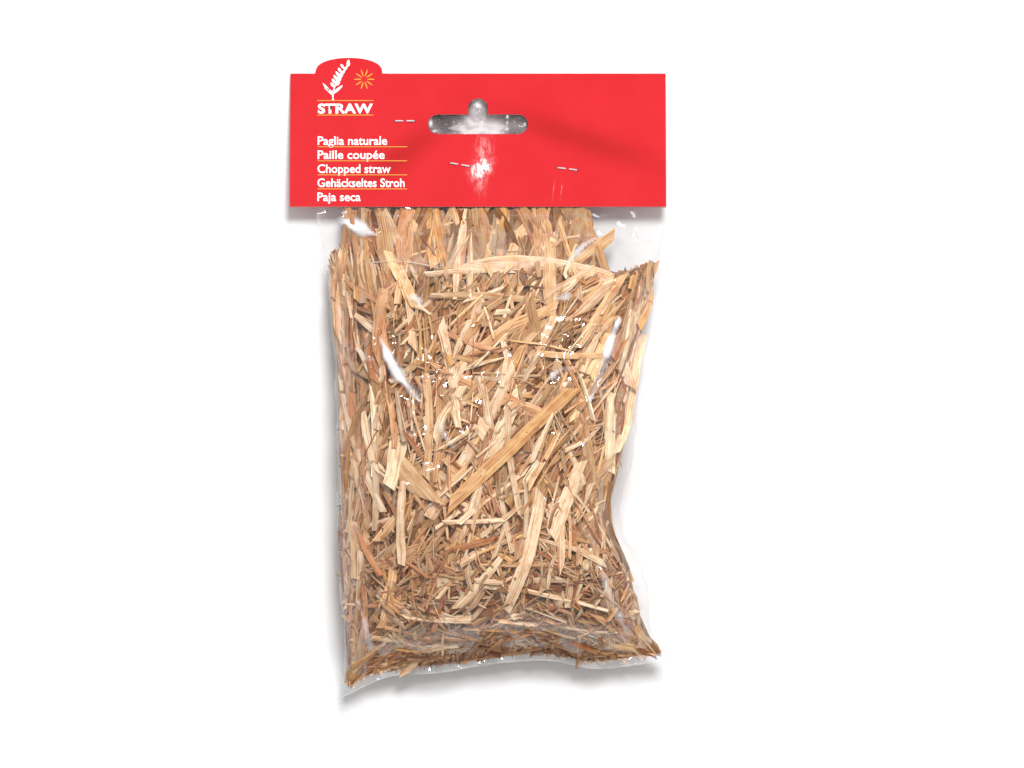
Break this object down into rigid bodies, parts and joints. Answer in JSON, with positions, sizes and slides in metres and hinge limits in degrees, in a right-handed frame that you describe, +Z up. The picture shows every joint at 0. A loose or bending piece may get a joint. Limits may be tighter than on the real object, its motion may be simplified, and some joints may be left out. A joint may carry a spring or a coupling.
{
  "type": "hang-sell bag of craft straw",
  "caption": "Clear film bag of chopped natural straw lying on its back, its mouth stapled inside a folded red header card with a euro hang slot and a small tab.",
  "frame": {"origin": "middle of the whole pack's box, at the height of the surface that its back lies on", "axes": "+Z up, out of the front of the bag and the printed side of the card; +Y from the sealed end towards the header card; +X to the right when the card is read"},
  "size_m": [0.1212, 0.2042, 0.036],
  "materials": {
    "header_card": "coated, softly glossy",
    "film": "clear, crinkled, glossy",
    "staple_wire": "bright galvanised",
    "straw_wide": "satin, fibrous",
    "straw_narrow": "satin, fibrous",
    "straw_stalk": "waxy satin",
    "straw_fill": "dull, tangled"
  },
  "bodies": {
    "filled_bag": {"back_straw_01": "straw_wide", "back_straw_02": "straw_wide", "back_straw_03": "straw_wide", "back_straw_04": "straw_wide", "back_straw_05": "straw_wide", "back_straw_06": "straw_wide", "bag_film": "film", "hollow_straw_01": "straw_stalk", "hollow_straw_02": "straw_stalk", "hollow_straw_03": "straw_stalk", "narrow_straw_01": "straw_narrow", "narrow_straw_02": "straw_narrow", "narrow_straw_03": "straw_narrow", "narrow_straw_04": "straw_narrow", "narrow_straw_05": "straw_narrow", "narrow_straw_06": "straw_narrow", "narrow_straw_07": "straw_narrow", "narrow_straw_08": "straw_narrow", "narrow_straw_09": "straw_narrow", "narrow_straw_10": "straw_narrow", "narrow_straw_11": "straw_narrow", "narrow_straw_12": "straw_narrow", "narrow_straw_13": "straw_narrow", "narrow_straw_14": "straw_narrow", "narrow_straw_15": "straw_narrow", "narrow_straw_16": "straw_narrow", "narrow_straw_17": "straw_narrow", "narrow_straw_18": "straw_narrow", "straw_fill": "straw_fill", "wide_straw_01": "straw_wide", "wide_straw_02": "straw_wide", "wide_straw_03": "straw_wide", "wide_straw_04": "straw_wide", "wide_straw_05": "straw_wide", "wide_straw_06": "straw_wide", "wide_straw_07": "straw_wide", "wide_straw_08": "straw_wide", "wide_straw_09": "straw_wide", "wide_straw_10": "straw_wide", "wide_straw_11": "straw_wide", "wide_straw_12": "straw_wide"},
    "header": {"header_card": "header_card", "bag_mouth_film": "film", "staple_left": "staple_wire", "staple_middle": "staple_wire", "staple_right": "staple_wire"}
  },
  "joints": [
    {"name": "header_fold", "type": "hinge", "parent": "filled_bag", "child": "header", "pos_m": [-0.00065, 0.05292, 0.008], "axis": [1, 0, 0], "range_deg": [0, 90]}
  ]
}
